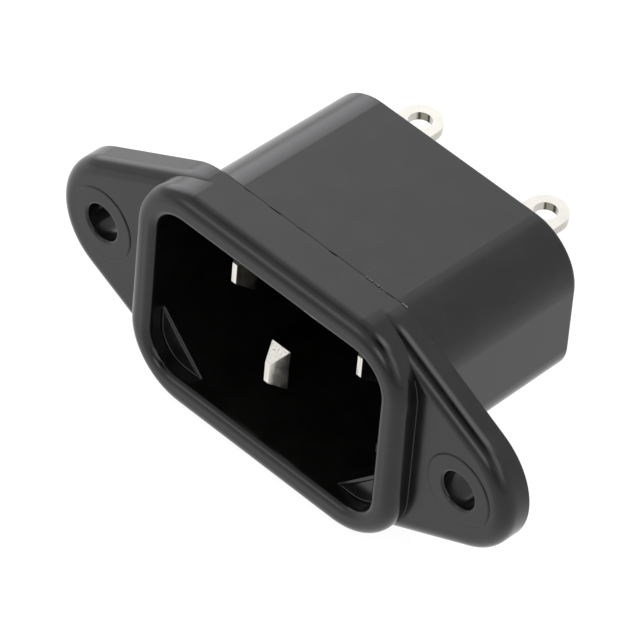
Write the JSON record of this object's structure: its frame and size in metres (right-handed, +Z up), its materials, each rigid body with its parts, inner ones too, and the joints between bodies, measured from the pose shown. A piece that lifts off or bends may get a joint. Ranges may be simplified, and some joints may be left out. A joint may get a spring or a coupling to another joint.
{
  "type": "panel inlet socket",
  "caption": "Screw-mounted panel inlet for a keyed three-pole mains connector, with a rounded collar, two ears and solder tails.",
  "frame": {"origin": "centre of the flange's rear face, midway between the two screw holes, where the flange seats on the panel", "axes": "+X to the right seen from the front, +Y into the panel, +Z up, away from the two keying corners"},
  "size_m": [0.05, 0.0262, 0.022],
  "materials": {
    "housing": "satin",
    "contacts": "satin"
  },
  "bodies": {
    "root": {"housing": "housing", "line_contact": "contacts", "neutral_contact": "contacts", "earth_contact": "contacts"}
  },
  "joints": []
}
